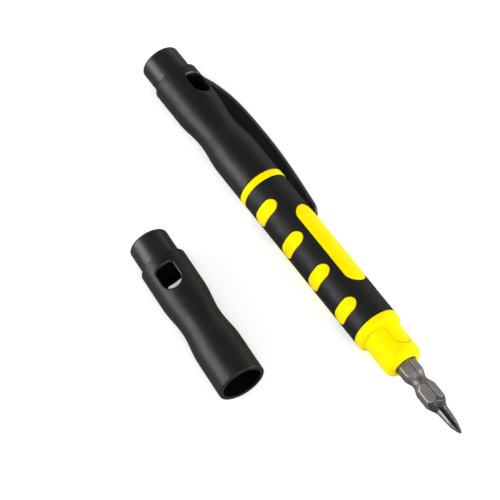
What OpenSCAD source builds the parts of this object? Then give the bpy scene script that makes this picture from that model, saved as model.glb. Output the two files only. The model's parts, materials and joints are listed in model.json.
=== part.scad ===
// Pocket screwdriver: a yellow handle core in a black sleeve, with a bush and a hex bit in each end, a
// clip cap pushed on at the rear and the front cap taken off and lying beside it. Lengths are in millimetres.
// The tool lies along X with its front bit towards +X, and +Z is up. The origin is on the tool's axis at
// the front face of the flange, where the front cap seats. Directions round the tool are in degrees from
// straight up, towards the clip side, which is +Y.

/* [Handle] */
// Diameter of the black grip
grip_d = 15.3; // [14.4:0.1:18]
// Length of the black grip
grip_len = 58.7; // [50:0.1:75]
// Thickness of the black sleeve
sleeve_wall = 1.3; // [0.8:0.1:1.6]
// Length of the flange in front of the grip
flange_len = 3.1; // [2:0.1:6]
// Rounding of the flange's front edge
flange_round = 1; // [0.2:0.1:1.1]
// Length of the ring behind the grip
ring_len = 2.4; // [1.5:0.1:5]
// How far the rear ring stands proud of the grip
ring_proud = 0.1; // [0:0.05:0.3]
// Diameter of the collar that a cap pushes onto
collar_d = 12.6; // [12:0.1:13]
// Length of the collar
collar_len = 12.7; // [11:0.1:14]
// Rounding of the collar's nose
nose_round = 2.2; // [0.5:0.1:2.4]
// Depth of the lip in front of the bit socket
nose_lip = 0.8; // [0.4:0.1:2]

/* [Snap recess] */
// Width of the recess in the side of the collar
recess_w = 6.9; // [4:0.1:7.4]
// Length of the recess from the flange
recess_len = 8.7; // [5:0.1:10]
// Depth of the recess
recess_depth = 0.45; // [0.2:0.05:0.6]

/* [Pads] */
// How far the pads stand proud of the sleeve
pad_proud = 0.1; // [0:0.05:0.2]
// Direction that the upper long pad faces
pad_angle = 33.5; // [-180:0.5:180]
// Angle that a long pad covers round the grip
long_pad_arc = 62; // [40:1:70]
// Distance from each end of the grip to a long pad
long_pad_end = 13.1; // [8:0.1:18]
// Angle that an oval pad covers round the grip
oval_arc = 84; // [60:1:94]
// Width of an oval pad along the grip
oval_w = 4.8; // [3:0.1:7]
// Number of oval pads in a row
oval_count = 4; // [2:1:5]
// Distance from each end of the grip to the middle of the nearest oval pad
oval_end = 8.3; // [5:0.1:10]

/* [Bits] */
// Hex size across the flats
hex_af = 6.35; // [5.5:0.05:6.6]
// How much is turned off each hex corner
hex_corner_cut = 0.17; // [0.05:0.01:0.3]
// Length of a bit
bit_len = 60; // [56:0.5:66]
// How far the front bit stands out of the nose
bit_reach = 27.7; // [26:0.1:32]
// Length of the hex in the middle of a bit
mid_hex_len = 11.7; // [9:0.1:14]
// Length of the neck beside the middle hex
neck_len = 7; // [4:0.1:7.5]
// Least diameter of the neck
neck_d = 5; // [4:0.1:5.4]
// Length of the hex beyond the neck
end_hex_len = 4.3; // [3:0.1:5]
// Length of the cone beyond the end hex
cone_len = 3.6; // [2.5:0.1:4.5]
// Shank diameter at the end of the cone
shank_d = 4; // [3.4:0.1:4.6]
// Length of the shank behind the point
shank_len = 4.1; // [3:0.1:5]
// Shank diameter where the point starts
point_d = 3.4; // [3:0.1:3.4]
// Diameter of the blunt end of the point
point_end_d = 0.7; // [0.5:0.1:1.2]
// How rounded the point's sides are, 1 being straight
point_bulge = 1.8; // [1:0.1:2.5]
// Thickness of the flat blade at a bit's inner end
blade_t = 0.9; // [0.6:0.1:1.4]
// Length of the blade's even thickness
blade_flat_len = 3.2; // [2:0.1:5]
// Direction that one flat of the hex faces
hex_angle = -26.5; // [-180:0.5:180]
// Direction that one flute of the cross point faces
flute_angle = -11.5; // [-180:0.5:180]
// Length of a flute at the bit's axis
flute_len = 8.6; // [7:0.1:9.4]
// Angle at which a flute's root rises from the tip
flute_rise_angle = 4.3; // [2:0.1:8]

/* [Sockets] */
// Wall of the bush round the steel socket, inside the handle
bush_wall = 0.8; // [0.5:0.05:0.9]
// Wall of the steel socket outside the hex corners
socket_wall = 1; // [0.9:0.05:1.1]
// How far the socket reaches past the bit's inner hex
socket_past = 0.8; // [0.4:0.1:2]
// Room behind the inner end of a bit
tip_room = 1.2; // [0.5:0.1:2]
// Room round the inner end of a bit, outside the hex corners
tip_clear = 0.1; // [0.05:0.05:0.4]
// Wire of the retaining ring
ring_wire = 0.6; // [0.4:0.05:0.65]
// Opening in the retaining ring
ring_gap = 1.6; // [1:0.1:3]

/* [Caps] */
// Length of a cap's shell
cap_len = 48; // [46:0.5:60]
// Diameter of the shell at its mouth
cap_mouth_d = 15.5; // [14.8:0.1:16.4]
// Diameter of the shell at its closed end
cap_end_d = 15.3; // [14.4:0.1:16.2]
// Diameter of the waist
waist_d = 13.5; // [12.8:0.1:14.4]
// Distance from the mouth to the middle of the waist
waist_at = 24.4; // [23.8:0.1:25.5]
// Length of the waist
waist_len = 22; // [16:0.5:22]
// Bore of the shell behind the collar
cap_bore_d = 11; // [9.5:0.1:11.4]
// Room for the collar's nose in the mouth of a cap
nose_room = 0.8; // [0.3:0.1:1.5]
// Rounding of the shell's edges
cap_edge = 0.4; // [0.1:0.05:0.5]
// Width of a slot
slot_w = 6.3; // [4.5:0.1:6.8]
// Length of a slot
slot_len = 8.4; // [7:0.1:9]
// Corner rounding at the closed end of a slot
slot_corner = 1.2; // [0.4:0.1:2]
// Distance from the shell's closed end to a slot
slot_from_end = 3.9; // [3.6:0.1:5]
// Direction that the rear cap's slot faces
rear_slot_angle = 32; // [-180:0.5:180]

/* [End plugs] */
// Diameter of an end plug
plug_d = 13.1; // [12:0.1:13.6]
// Length of the plug outside the shell
plug_len = 9.4; // [5:0.1:11]
// Length of the plug inside the shell
plug_seat = 3.4; // [2.4:0.1:3.8]
// Rounding of the plug's end
plug_round = 0.9; // [0.3:0.1:1]
// Diameter of the bright disc in the plug's end
disc_d = 10; // [7:0.1:10.4]
// Thickness of the disc
disc_t = 2; // [1:0.1:3]
// How far the disc stands proud of the plug
disc_proud = 0.1; // [0.05:0.05:0.3]

/* [Clip] */
// Direction that the clip faces
clip_angle = 107; // [95:0.5:115]
// Width of the clip
clip_w = 6.8; // [5:0.1:8]
// Thickness of the clip
clip_t = 1.3; // [0.9:0.1:1.6]
// Length of the clip
clip_len = 62.5; // [55:0.5:70]
// Distance from the shell's closed end to the clip's root
clip_root = 3.5; // [2:0.1:6]
// Height of the clip's root over the shell
clip_root_h = 0.35; // [0.3:0.05:0.8]
// Greatest height of the clip over the shell
clip_rise = 4.85; // [4.5:0.05:6]
// Height of the clip's tip over the shell
clip_tip_h = 1.8; // [1.7:0.1:3]
// Distance from the clip's root to its highest point
clip_top_at = 29.4; // [26:0.1:34]
// Length of the root that lies on the shell
clip_seat_len = 4.6; // [3:0.1:6]
// Angle at which the clip leaves the shell
clip_lift_angle = 17; // [14:0.1:22]
// Length over which the clip keeps that angle
clip_start_len = 9.5; // [5:0.1:10]
// Distance from the clip's root to its shoulder
clip_shoulder = 9.6; // [9:0.1:12]
// How much of the clip's descent is left to its last stretch
clip_droop = 1.5; // [0.6:0.1:2]

/* [Front cap beside the tool] */
// Place of the middle of the front cap along the tool
loose_x = -38.6; // [-90:0.1:20]
// Place of the middle of the front cap across the tool
loose_y = -42.2; // [-80:0.1:-36]
// Turn of the front cap on the surface
loose_yaw = -3.9; // [-10:0.1:10]
// Direction that the front cap's slot faces
loose_slot_angle = -17.5; // [-180:0.5:180]

/* [Fits] */
// Clearance between collar and cap, on the radius
cap_fit = 0.06; // [0.03:0.01:0.1]
// Clearance between bit and socket, on each flat
hex_fit = 0.05; // [0.02:0.01:0.1]
// Gap between a cap's mouth and the shoulder it meets
seat_gap = 0.1; // [0.05:0.05:0.3]
// Gap along the seams between fixed pieces
seam_gap = 0.05; // [0.02:0.01:0.08]
// Gap under the clip's root
clip_gap = 0.1; // [0.05:0.05:0.2]
// Distance from the rear bit's tip to the rear cap's slot
rear_tip_short = 0.7; // [0.3:0.1:2]

/* [Hidden] */
$fn = 96;
// Angle between the points of a rounded edge
arc_step = 15;
// Height of a block that cuts right through the tool, and how far a cut runs past the face it opens
through = 40;
over = 1;

yellow = [1, 0.87, 0];
soft_black = [0.09, 0.09, 0.1];
shell_black = [0.12, 0.12, 0.12];
tool_steel = [0.45, 0.43, 0.41];
bright_steel = [0.72, 0.72, 0.73];

// Radii and stations of the handle
grip_r = grip_d / 2;
core_r = grip_r - sleeve_wall;
pad_r = grip_r + pad_proud;
ring_r = grip_r + ring_proud;
collar_r = collar_d / 2;
nose_x = collar_len;
grip_front_x = -flange_len;
grip_rear_x = grip_front_x - grip_len;
ring_rear_x = grip_rear_x - ring_len;
grip_mid_x = (grip_front_x + grip_rear_x) / 2;
oval_pitch = (grip_len - 2 * oval_end) / (oval_count - 1);
long_pad_len = grip_len - 2 * long_pad_end;

// A bit's sections, measured from its middle
hex_corner_r = hex_af / 2 / cos(30);
bit_r = hex_corner_r - hex_corner_cut;
neck_start = mid_hex_len / 2;
neck_mid = neck_start + neck_len / 2;
end_hex_start = neck_start + neck_len;
cone_start = end_hex_start + end_hex_len;
shank_start = cone_start + cone_len;
point_start = shank_start + shank_len;
bit_half = bit_len / 2;

// Where the bits sit: the front one by its reach, the rear one just short of the cap's slot
front_bit_x = nose_x + bit_reach - bit_half;
cap_seat_x = ring_rear_x - seat_gap;
slot_start = cap_len - slot_from_end - slot_len;
rear_bit_x = cap_seat_x - slot_start + rear_tip_short + bit_half;

// The sockets and their rings
socket_hex_r = hex_corner_r + hex_fit / cos(30);
socket_r = socket_hex_r + socket_wall;
bush_r = socket_r + seam_gap + bush_wall;
ring_in_r = bit_r + hex_fit;
ring_out_r = ring_in_r + ring_wire;
groove_r = ring_out_r + seam_gap;
groove_w = ring_wire + 2 * seam_gap;
mouth_hole_r = socket_hex_r;
tip_hole_r = bit_r + tip_clear;

// Cap sections, measured from the mouth
mouth_r = cap_mouth_d / 2;
end_r = cap_end_d / 2;
mouth_bore_r = collar_r + cap_fit;
mouth_depth = collar_len + nose_room;
cap_bore_r = cap_bore_d / 2;
cap_total = cap_len + plug_len;
floor_z = -max(ring_r, mouth_r);

// Clip outline over the tool's axis
clip_seat_r = end_r + clip_gap;
clip_root_r = end_r + clip_root_h;
clip_top_r = end_r + clip_rise;
clip_tip_r = end_r + clip_tip_h;

// Points of an arc about a centre given as [radius, x]
function arc(centre, r, from, to) =
    let (steps = ceil(abs(to - from) / arc_step))
    [for (i = [0 : steps])
        let (a = from + (to - from) * i / steps)
        [centre[0] + r * cos(a), centre[1] + r * sin(a)]];

// Point of a cubic curve
function curve_point(p, t) =
    pow(1 - t, 3) * p[0] + 3 * t * pow(1 - t, 2) * p[1] + 3 * t * t * (1 - t) * p[2] + pow(t, 3) * p[3];
function curve(p, steps) = [for (i = [0 : steps]) curve_point(p, i / steps)];

// Radius of a cap's shell at a distance from its mouth, with a smooth dip at the waist
function shell_r(depth) =
    let (plain = mouth_r + (end_r - mouth_r) * depth / cap_len)
    let (off = abs(depth - waist_at) / (waist_len / 2))
    off >= 1 ? plain : plain - (plain - waist_d / 2) * (1 + cos(180 * off)) / 2;

// A solid turned about the tool's axis from points given as [radius, x]
module turned_solid(points) {
    rotate([0, 90, 0]) rotate_extrude() polygon(points);
}

// A round bar or hole along the tool's axis
module bar(r, from, to) {
    translate([min(from, to), 0, 0]) rotate([0, 90, 0]) cylinder(r = r, h = abs(to - from));
}

// A hexagonal bar along the tool's axis, with one flat facing hex_angle
module hex_bar(corner_r, from, to) {
    facing(hex_angle + 30)
        translate([min(from, to), 0, 0])
        rotate([0, 90, 0])
        cylinder(r = corner_r, h = abs(to - from), $fn = 6);
}

// Turns what faces up to face a direction round the tool
module facing(angle) {
    rotate([-angle, 0, 0]) children();
}

// An upright block with round ends, long along X
module long_round(length, width) {
    linear_extrude(through) {
        square([length - width, width], center = true);
        for (side = [-1, 1])
            translate([side * (length - width) / 2, 0]) circle(d = width);
    }
}

// All the pads as blocks through the grip, each larger by grow on every side
module pad_blocks(grow) {
    long_pad_w = 2 * grip_r * sin(long_pad_arc / 2);
    oval_span = 2 * grip_r * sin(oval_arc / 2);
    for (side = [0, 180]) {
        facing(pad_angle + side)
            translate([grip_mid_x, 0, 0])
            long_round(long_pad_len + 2 * grow, long_pad_w + 2 * grow);
        facing(pad_angle + side + 90)
            for (i = [0 : oval_count - 1])
                translate([grip_front_x - oval_end - i * oval_pitch, 0, 0])
                rotate([0, 0, 90])
                long_round(oval_span + 2 * grow, oval_w + 2 * grow);
    }
}

// Where the socket of a bit ends inside the handle
function socket_end(bit_x, inward) = bit_x + inward * (cone_start + socket_past);

// The room for a bush and for the inner end of a bit, at one end of the core
module bush_room(shoulder, bit_x, inward) {
    bar(bush_r + seam_gap, shoulder - inward * over, socket_end(bit_x, inward));
    bar(tip_hole_r, socket_end(bit_x, inward), bit_x + inward * (bit_half + tip_room));
}

module handle_core() {
    color(yellow)
    difference() {
        union() {
            bar(core_r, ring_rear_x, grip_front_x);
            turned_solid(concat(
                [[0, grip_front_x], [grip_r, grip_front_x]],
                arc([grip_r - flange_round, -flange_round], flange_round, 0, 90),
                [[0, 0]]
            ));
            bar(ring_r, ring_rear_x, grip_rear_x);
            intersection() {
                pad_blocks(0);
                bar(pad_r, grip_rear_x, grip_front_x);
            }
        }
        bush_room(0, front_bit_x, -1);
        bush_room(ring_rear_x, rear_bit_x, 1);
    }
}

// A bush with its shoulder at x = 0: the collar with its rounded nose in front, and behind it the sleeve
// that holds the socket inside the handle
module bush(bit_x) {
    color(yellow)
    difference() {
        union() {
            turned_solid(concat(
                [[0, seam_gap], [collar_r, seam_gap]],
                arc([collar_r - nose_round, collar_len - nose_round], nose_round, 0, 90),
                [[0, collar_len]]
            ));
            bar(bush_r, socket_end(bit_x, -1), collar_len / 2);
        }
        bar(mouth_hole_r, 0, collar_len + over);
        bar(socket_r + seam_gap, socket_end(bit_x, -1) - over, collar_len - nose_lip);
        snap_recess();
    }
}

// The shallow recess in the collar's side, round at its front end
module snap_recess() {
    facing(pad_angle)
        difference() {
            linear_extrude(through) {
                translate([-over, -recess_w / 2]) square([recess_len - recess_w / 2 + over, recess_w]);
                translate([recess_len - recess_w / 2, 0]) circle(d = recess_w);
            }
            bar(collar_r - recess_depth, -2 * over, collar_len);
        }
}

module front_bush() {
    bush(front_bit_x);
}

module rear_bush() {
    translate([ring_rear_x, 0, 0])
        mirror([1, 0, 0])
        bush(ring_rear_x - rear_bit_x);
}

module grip_sleeve() {
    color(soft_black)
    difference() {
        bar(grip_r, grip_rear_x + seam_gap, grip_front_x - seam_gap);
        bar(core_r + seam_gap, grip_rear_x, grip_front_x);
        pad_blocks(seam_gap);
    }
}

// A steel socket: a round sleeve with a hex hole and a groove for the retaining ring
module socket(nose, bit_x, inward) {
    mouth = nose + inward * (nose_lip + seam_gap);
    end = socket_end(bit_x, inward);
    ring_x = bit_x + inward * neck_mid;
    color(bright_steel)
    difference() {
        bar(socket_r, mouth, end);
        hex_bar(socket_hex_r, mouth - inward * over, end + inward * over);
        bar(groove_r, ring_x - groove_w / 2, ring_x + groove_w / 2);
    }
}

module front_socket() {
    socket(nose_x, front_bit_x, -1);
}

module rear_socket() {
    socket(ring_rear_x - collar_len, rear_bit_x, 1);
}

// A split spring ring, drawn spread as it is when the hex passes through
module retaining_ring(ring_x) {
    color(bright_steel)
    difference() {
        bar(ring_out_r, ring_x - ring_wire / 2, ring_x + ring_wire / 2);
        bar(ring_in_r, ring_x - ring_wire, ring_x + ring_wire);
        translate([ring_x - ring_wire, -ring_gap / 2, 0]) cube([2 * ring_wire, ring_gap, 2 * ring_out_r]);
    }
}

module front_retaining_ring() {
    retaining_ring(front_bit_x - neck_mid);
}

module rear_retaining_ring() {
    retaining_ring(rear_bit_x + neck_mid);
}

// A double-ended bit about its middle: cross point towards +X, flat blade towards -X
module bit() {
    color(tool_steel)
    difference() {
        intersection() {
            turned_solid(bit_outline());
            hex_bar(hex_corner_r, -bit_half - over, bit_half + over);
        }
        cross_flutes();
        blade_flats();
    }
}

// Half section of a bit as [radius, x], from the blade end to the point
function bit_outline() = concat(
    [[0, -bit_half], [shank_d / 2, -bit_half], [shank_d / 2, -shank_start], [bit_r, -cone_start]],
    neck_outline(-1),
    neck_outline(1),
    [[bit_r, cone_start], [shank_d / 2, shank_start]],
    point_outline(),
    [[0, bit_half]]
);

// The point, whose sides round off more and more towards its blunt end
function point_outline() =
    let (steps = 8)
    [for (i = [0 : steps])
        let (along = i / steps)
        let (narrowing = (point_d - point_end_d) / 2 * pow(along, point_bulge))
        [point_d / 2 - narrowing, point_start + along * (bit_half - point_start)]];

// The dip of one neck, with x rising
function neck_outline(side) =
    let (steps = 16)
    [for (i = [0 : steps])
        let (across = i / steps * 2 - 1)
        let (dip = (bit_r - neck_d / 2) * (1 + cos(180 * across)) / 2)
        [bit_r - dip, side * neck_mid + across * neck_len / 2]];

// Four V-shaped flutes, each ending in a ramp that comes out of the cone
module cross_flutes() {
    flute_x = bit_half - flute_len;
    for (quarter = [0 : 3])
        facing(flute_angle + 90 * quarter)
            intersection() {
                translate([bit_half, 0, point_end_d / 2])
                    rotate([0, flute_rise_angle, 0])
                    rotate([90, 0, 90])
                    linear_extrude(4 * flute_len, center = true)
                    polygon([[0, 0], [shank_d, shank_d], [-shank_d, shank_d]]);
                rotate([90, 0, 0])
                    linear_extrude(4 * shank_d, center = true)
                    polygon([
                        [flute_x, 0],
                        [bit_half + over, 0],
                        [bit_half + over, shank_d],
                        [flute_x - shank_d, shank_d]
                    ]);
            }
}

// Two flats that leave a blade at the inner end
module blade_flats() {
    for (side = [0, 180])
        facing(flute_angle + side)
            rotate([90, 0, 0])
            linear_extrude(2 * shank_d, center = true)
            polygon([
                [-bit_half - over, blade_t / 2],
                [-bit_half + blade_flat_len, blade_t / 2],
                [-shank_start, shank_d / 2],
                [-shank_start, shank_d],
                [-bit_half - over, shank_d]
            ]);
}

module front_bit() {
    translate([front_bit_x, 0, 0]) bit();
}

module rear_bit() {
    translate([rear_bit_x, 0, 0]) mirror([1, 0, 0]) bit();
}

// A cap's shell with its mouth at x = 0 facing +X and a slot through both walls
module cap_shell(slot_angle) {
    wave = 20;
    color(shell_black)
    difference() {
        turned_solid(concat(
            arc([mouth_r - cap_edge, -cap_edge], cap_edge, 90, 0),
            [for (i = [0 : wave])
                let (depth = waist_at + (i / wave - 0.5) * waist_len)
                [shell_r(depth), -depth]],
            arc([end_r - cap_edge, cap_edge - cap_len], cap_edge, 0, -90),
            [[cap_bore_r, -cap_len], [cap_bore_r, -mouth_depth],
                [mouth_bore_r, -mouth_depth], [mouth_bore_r, 0]]
        ));
        facing(slot_angle)
            translate([0, 0, -through / 2])
            slot_block();
    }
}

// The slot as an upright block: square at the closed end of the shell, round towards the mouth
module slot_block() {
    closed_x = slot_from_end - cap_len;
    round_x = closed_x + slot_len - slot_w / 2;
    linear_extrude(through) {
        translate([round_x, 0]) circle(d = slot_w);
        translate([closed_x + slot_corner, -slot_w / 2]) square([round_x - closed_x - slot_corner, slot_w]);
        translate([closed_x, slot_corner - slot_w / 2]) square([slot_corner, slot_w - 2 * slot_corner]);
        for (side = [-1, 1])
            translate([closed_x + slot_corner, side * (slot_w / 2 - slot_corner)]) circle(r = slot_corner);
    }
}

// The plug in a cap's closed end, in the cap's own frame
module end_plug() {
    plug_r = plug_d / 2;
    outer_x = -cap_total;
    pocket_r = disc_d / 2 + seam_gap;
    color(shell_black)
    turned_solid(concat(
        [[0, plug_seat - cap_len], [cap_bore_r - seam_gap, plug_seat - cap_len],
            [cap_bore_r - seam_gap, -cap_len], [plug_r, -cap_len]],
        arc([plug_r - plug_round, outer_x + plug_round], plug_round, 0, -90),
        [[pocket_r, outer_x], [pocket_r, outer_x + disc_t - disc_proud], [0, outer_x + disc_t - disc_proud]]
    ));
}

// The bright disc in a plug's end, in the cap's own frame
module end_disc() {
    color(bright_steel) bar(disc_d / 2, -cap_total - disc_proud, -cap_total - disc_proud + disc_t);
}

// Puts a cap where it sits on the rear collar
module at_rear() {
    translate([cap_seat_x, 0, 0]) children();
}

// Puts a cap where it lies beside the tool
module beside() {
    translate([loose_x, loose_y, floor_z + mouth_r])
        rotate([0, 0, loose_yaw])
        translate([cap_total / 2, 0, 0])
        children();
}

module rear_cap_shell() {
    at_rear() cap_shell(rear_slot_angle);
}

module rear_end_plug() {
    at_rear() end_plug();
}

module rear_end_disc() {
    at_rear() end_disc();
}

// The clip: a bowed strip with a round tip, whose root lies on the shell
module pocket_clip() {
    color(shell_black)
    at_rear()
    facing(clip_angle)
    translate([clip_root - cap_len, 0, 0])
    difference() {
        intersection() {
            rotate([90, 0, 0]) linear_extrude(clip_w, center = true) polygon(clip_outline());
            linear_extrude(through) {
                translate([0, -clip_w / 2]) square([clip_len - clip_w / 2, clip_w]);
                translate([clip_len - clip_w / 2, 0]) circle(d = clip_w);
            }
        }
        bar(clip_seat_r, -over, clip_len);
    }
}

// Side view of the clip as [x, distance from the tool's axis]: over the top to the tip and back along the
// underside, which runs into the shell at the root so that the shell's own round can be cut out of it
function clip_outline() =
    let (steps = 12)
    let (under = [0, -clip_t])
    let (top = [clip_top_at, clip_top_r])
    let (tip = [clip_len, clip_tip_r])
    let (third = (clip_len - clip_top_at) / 3)
    let (leave = [1, tan(clip_lift_angle)])
    let (root = [0, clip_root_r])
    let (seat = [clip_seat_len, clip_seat_r])
    let (shoulder = [clip_shoulder, clip_top_r])
    let (rise = [root, root + leave * clip_start_len, shoulder, top])
    let (fall = [top, top + [third, 0], [clip_len - third, clip_top_r - clip_droop], tip])
    let (lift = [seat, seat + leave * (clip_start_len - clip_seat_len), shoulder + under, top + under])
    let (inside_r = (end_r + cap_bore_r) / 2)
    concat(
        curve(rise, steps),
        curve(fall, steps),
        [for (i = [steps : -1 : 0]) curve_point(fall, i / steps) + under],
        [for (i = [steps : -1 : 0]) curve_point(lift, i / steps)],
        [[clip_seat_len, inside_r], [0, inside_r]]
    );

module front_cap_shell() {
    beside() cap_shell(loose_slot_angle);
}

module front_end_plug() {
    beside() end_plug();
}

module front_end_disc() {
    beside() end_disc();
}

handle_core();
grip_sleeve();
front_bush();
rear_bush();
front_socket();
rear_socket();
front_retaining_ring();
rear_retaining_ring();
front_bit();
rear_bit();
rear_cap_shell();
rear_end_plug();
rear_end_disc();
pocket_clip();
front_cap_shell();
front_end_plug();
front_end_disc();
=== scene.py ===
import json
from math import asin, atan2, cos, hypot, pi, radians, sin, sqrt, tan

import bmesh
import bpy
from mathutils import Matrix, Vector


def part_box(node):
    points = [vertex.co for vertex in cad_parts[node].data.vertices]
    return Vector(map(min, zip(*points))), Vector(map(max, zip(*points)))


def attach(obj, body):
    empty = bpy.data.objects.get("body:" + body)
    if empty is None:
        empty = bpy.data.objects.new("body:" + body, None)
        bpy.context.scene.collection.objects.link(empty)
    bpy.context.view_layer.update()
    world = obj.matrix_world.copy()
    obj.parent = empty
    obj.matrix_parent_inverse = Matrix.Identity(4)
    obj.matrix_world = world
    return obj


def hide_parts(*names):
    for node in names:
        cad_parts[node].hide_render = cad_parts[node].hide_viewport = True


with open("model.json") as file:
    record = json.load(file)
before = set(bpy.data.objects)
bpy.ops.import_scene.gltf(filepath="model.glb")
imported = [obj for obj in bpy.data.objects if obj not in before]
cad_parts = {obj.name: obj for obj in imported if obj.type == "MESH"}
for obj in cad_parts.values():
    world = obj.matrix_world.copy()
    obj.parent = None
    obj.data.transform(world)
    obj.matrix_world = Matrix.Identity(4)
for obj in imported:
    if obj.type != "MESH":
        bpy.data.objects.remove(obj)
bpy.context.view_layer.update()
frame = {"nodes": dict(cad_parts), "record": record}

# Handle core: the yellow moulding that carries everything else. It shows as the flange in front of the
# black sleeve and as the thin ring behind it, and runs on under the sleeve between them.
# Satin plastic from a fine-grained mould; every edge that a hand meets is rounded.
mm = 0.001
full_turn = 2 * pi
grip_r = 7.65
under_sleeve_r = 6.35
rear_ring_r = 7.75
flange_edge = 1.0
seam_edge = 0.12
bush_room_r = 5.62
bit_end_room_r = 3.6
bit_end_room = 1.2


def box_mm(node):
    """Lowest and highest corner of a node of the frame, in millimetres."""
    return [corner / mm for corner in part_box(node)]


def spot(x, r, turn):
    """Point x along the tool and r from its axis, turned from straight up towards the clip side."""
    return Vector((x, r * sin(turn), r * cos(turn)))


def filleted(corners, steps=5):
    """Outline through corners given as (x, r, fillet), each one rounded by its fillet."""
    points = []
    for i, (x, r, fillet) in enumerate(corners):
        corner = Vector((x, r))
        if fillet == 0:
            points.append(corner)
            continue
        before = (Vector(corners[i - 1][:2]) - corner).normalized()
        after = (Vector(corners[(i + 1) % len(corners)][:2]) - corner).normalized()
        half = before.angle(after) / 2
        centre = corner + (before + after).normalized() * fillet / sin(half)
        start = corner + before * fillet / tan(half) - centre
        end = corner + after * fillet / tan(half) - centre
        points += [centre + start.slerp(end, k / steps) * fillet for k in range(steps + 1)]
    return points


def bridge(mesh, first, second, skip=()):
    """Joins two closed rows of points with a band of faces, leaving out the places in skip."""
    for i in range(len(first)):
        j = (i + 1) % len(first)
        corners = list(dict.fromkeys((first[i], first[j], second[j], second[i])))
        if i not in skip and len(corners) > 2:
            mesh.faces.new(corners)


def turned(mesh, outline, turns, closed=False, dent=None):
    """Turns an outline of (x, r) points about the tool's axis. dent(x, r, turn) lowers the surface there."""
    rows = []
    for x, r in outline:
        if r == 0:
            rows.append([mesh.verts.new((x, 0, 0))] * len(turns))
        else:
            rows.append([mesh.verts.new(spot(x, r - (dent(x, r, a) if dent else 0), a)) for a in turns])
    for first, second in zip(rows, rows[1:] + rows[:1] if closed else rows[1:]):
        bridge(mesh, first, second)


def even_turns(count, start=0.0):
    """Directions round the tool at even steps."""
    return [start + full_turn * i / count for i in range(count)]


def steps_between(low, high, count):
    """Even steps from low to high, both included."""
    return [round(low + (high - low) * i / count, 7) for i in range(count + 1)]


def new_piece(name, mesh, material, sharp=radians(38)):
    """Closes a mesh made in millimetres and turns it into a piece in metres with its place in its mesh."""
    weld = 0.001
    bmesh.ops.remove_doubles(mesh, verts=mesh.verts, dist=weld)
    bmesh.ops.recalc_face_normals(mesh, faces=mesh.faces)
    bmesh.ops.scale(mesh, verts=mesh.verts, vec=(mm, mm, mm))
    data = bpy.data.meshes.new(name)
    mesh.to_mesh(data)
    mesh.free()
    data.shade_smooth()
    data.set_sharp_from_angle(angle=sharp)
    data.materials.append(material)
    piece = bpy.data.objects.new(name, data)
    bpy.context.scene.collection.objects.link(piece)
    return piece


def node(tree, kind, inputs=None, **settings):
    """A node in a tree: inputs are values to set or sockets to link, settings are the node's own."""
    made = tree.nodes.new(kind)
    for key, value in settings.items():
        setattr(made, key, value)
    for key, value in (inputs or {}).items():
        if isinstance(value, bpy.types.NodeSocket):
            tree.links.new(value, made.inputs[key])
        else:
            made.inputs[key].default_value = value
    return made


def new_material(name):
    """A material with a bare shader; returns its tree, the shader and the piece's own coordinates."""
    material = bpy.data.materials.new(name)
    material.use_nodes = True
    tree = material.node_tree
    shader = tree.nodes["Principled BSDF"]
    coordinates = tree.nodes.new("ShaderNodeTexCoord").outputs["Object"]
    return material, tree, shader, coordinates


def noise(tree, coordinates, size, detail=3.0):
    """Smooth noise whose blotches are about size millimetres across."""
    return node(tree, "ShaderNodeTexNoise", {
        "Vector": coordinates, "Scale": 1 / (size * mm), "Detail": detail}).outputs["Fac"]


def spread(tree, factor, low, high):
    """Maps noise, which stays near the middle of 0 to 1, onto the span from low to high."""
    noise_low, noise_high = 0.3, 0.7
    return node(tree, "ShaderNodeMapRange", {
        "Value": factor, "From Min": noise_low, "From Max": noise_high,
        "To Min": low, "To Max": high}).outputs["Result"]


def between(tree, factor, first, second):
    """A colour between two, by a factor. Each of the two is a colour or a socket that gives one."""
    first, second = (end if isinstance(end, bpy.types.NodeSocket) else (*end, 1) for end in (first, second))
    return node(tree, "ShaderNodeMix", {0: factor, 6: first, 7: second}, data_type="RGBA").outputs[2]


def marked_points(tree, name):
    """What the points of a mesh are marked with under a name, 0 where they are not."""
    return node(tree, "ShaderNodeAttribute", attribute_name=name).outputs["Fac"]


def moulded(name, pale, deep, gloss, grain, grain_depth, specular):
    """Moulded plastic or rubber: a slight drift in colour, uneven gloss and the grain of its mould.

    Points marked with painted shade, in hollows that light hardly reaches, are painted darker and shine less.
    """
    drift_size, handled_size = 9, 2.5
    painted_shade_factor, painted_shade_shine = 0.8, 0.15
    material, tree, shader, place = new_material(name)
    painted_shade = marked_points(tree, "painted_shade")
    drift = spread(tree, noise(tree, place, drift_size), 0, 1)
    colour = between(tree, painted_shade, between(tree, drift, pale, deep),
                     [painted_shade_factor * part for part in deep])
    tree.links.new(colour, shader.inputs["Base Color"])
    handled = spread(tree, noise(tree, place, handled_size, 5.0), *gloss)
    tree.links.new(handled, shader.inputs["Roughness"])
    bump = node(tree, "ShaderNodeBump", {
        "Height": noise(tree, place, grain, 2.0), "Strength": 0.6, "Distance": grain_depth * mm})
    tree.links.new(bump.outputs["Normal"], shader.inputs["Normal"])
    shine = node(tree, "ShaderNodeMapRange", {
        "Value": painted_shade, "To Min": specular, "To Max": painted_shade_shine * specular})
    tree.links.new(shine.outputs["Result"], shader.inputs["Specular IOR Level"])
    return material


yellow_plastic = moulded(
    "yellow_plastic", pale=(0.98, 0.82, 0.0), deep=(0.96, 0.78, 0.0), gloss=(0.4, 0.5),
    grain=0.12, grain_depth=0.006, specular=0.14)
yellow_shader = yellow_plastic.node_tree.nodes["Principled BSDF"]
yellow_shader.inputs["Specular Tint"].default_value = (1, 0.84, 0.08, 1)

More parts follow.
